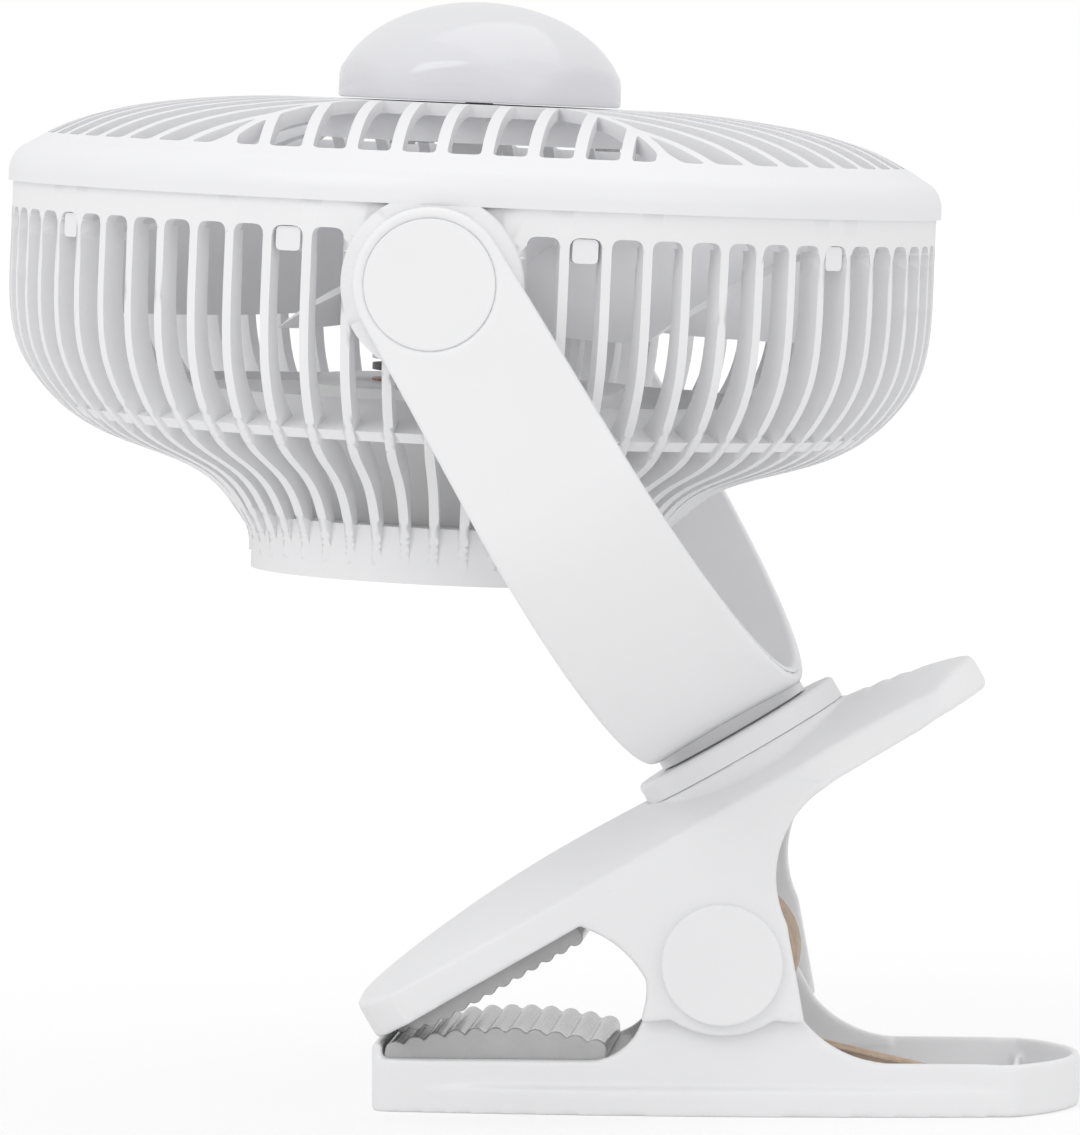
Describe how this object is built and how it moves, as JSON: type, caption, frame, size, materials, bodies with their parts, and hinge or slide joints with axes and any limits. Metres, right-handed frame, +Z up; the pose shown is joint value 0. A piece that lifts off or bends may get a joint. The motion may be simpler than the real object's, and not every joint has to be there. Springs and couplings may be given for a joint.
{
  "type": "clip fan",
  "caption": "Battery clip fan: a round caged fan head tilts in a bowed yoke that swivels on the lever of a sprung clip, whose flat base also stands on a table.",
  "frame": {"origin": "centre of the flat face that the clip base stands on", "axes": "+X towards the clip's handle end, +Y across to the side away from the viewer of the picture, +Z up"},
  "size_m": [0.2301, 0.214, 0.2361],
  "materials": {
    "white_plastic": "fine satin moulded shell",
    "grille_plastic": "smooth satin gloss, slightly cool",
    "knob_plastic": "polished dome",
    "impeller_plastic": "smooth moulded blades",
    "inner_plastic": "plain moulded inner part",
    "pad_rubber": "soft translucent grey",
    "bright_steel": "bright plated",
    "spring_steel": "oiled brownish wire",
    "washer_nylon": "waxy friction disc",
    "cell_sleeve": "shrink sleeve over the cell can",
    "contact_metal": "plain brass",
    "circuit_board": "lacquered laminate",
    "black_plastic": "plain black",
    "lead_sleeve": "cable sleeve",
    "magnet_iron": "dark coated iron",
    "copper_wire": "enamelled winding"
  },
  "bodies": {
    "base": {"clip_base": "white_plastic", "lower_pad": "pad_rubber", "clip_pin": "bright_steel", "pin_retainer": "bright_steel", "spring_drum": "inner_plastic", "clip_spring": "spring_steel"},
    "lever": {"clip_lever": "white_plastic", "upper_pad": "pad_rubber", "pivot_cap_front": "white_plastic", "pivot_cap_back": "white_plastic", "swivel_flange": "white_plastic", "swivel_friction_washer": "washer_nylon", "flange_screws": "bright_steel", "swivel_wave_washer": "bright_steel"},
    "yoke": {"swivel_bolt": "bright_steel", "swivel_nut": "bright_steel", "yoke_outer": "white_plastic", "yoke_liner": "white_plastic", "swivel_neck": "white_plastic", "hinge_pin_front": "inner_plastic", "hinge_ring_front": "bright_steel", "hinge_washer_front": "washer_nylon", "hinge_cap_front": "white_plastic", "hinge_pin_back": "inner_plastic", "hinge_ring_back": "bright_steel", "hinge_washer_back": "washer_nylon", "hinge_cap_back": "white_plastic"},
    "head": {"front_grille": "grille_plastic", "rear_cage": "white_plastic", "hub_back_cover": "white_plastic", "battery_holder": "inner_plastic", "holder_screws": "bright_steel", "cover_screws": "bright_steel", "battery_cells": "cell_sleeve", "battery_contacts": "contact_metal", "control_board": "circuit_board", "charging_port": "bright_steel", "motor_board": "circuit_board", "motor_standoffs": "contact_metal", "motor_base": "black_plastic", "bearing_tube": "contact_metal", "motor_bearings": "bright_steel", "centre_tube": "inner_plastic", "control_lead": "lead_sleeve", "stator_core": "magnet_iron", "stator_windings": "copper_wire", "hub_inner_cover": "inner_plastic", "hub_cover_screws": "bright_steel", "speed_control": "black_plastic"},
    "impeller": {"rotor_shaft": "bright_steel", "rotor_can": "bright_steel", "rotor_magnets": "magnet_iron", "impeller": "impeller_plastic", "impeller_screws": "bright_steel"},
    "knob": {"control_shaft": "bright_steel", "control_knob": "knob_plastic"}
  },
  "joints": [
    {"name": "clip_open", "type": "hinge", "parent": "base", "child": "lever", "pos_m": [0, 0, 0.0323], "axis": [0, 1, 0], "range_deg": [0, 40], "stiffness_Nm_per_rad": 0.9, "springref_deg": -68.75, "deforming": ["clip_spring"]},
    {"name": "yoke_swivel", "type": "hinge", "parent": "lever", "child": "yoke", "pos_m": [0.00103, 0, 0.07981], "axis": [-0.5, 0, 0.866], "continuous": true},
    {"name": "head_tilt", "type": "hinge", "parent": "yoke", "child": "head", "pos_m": [-0.05557, 0, 0.17784], "axis": [0, 1, 0], "continuous": true},
    {"name": "impeller_spin", "type": "hinge", "parent": "head", "child": "impeller", "pos_m": [-0.05487, 0, 0.19383], "axis": [0.0436, 0, 0.999], "continuous": true},
    {"name": "knob_turn", "type": "hinge", "parent": "head", "child": "knob", "pos_m": [-0.05487, 0, 0.19383], "axis": [-0.0436, 0, -0.999], "range_deg": [0, 270]}
  ]
}
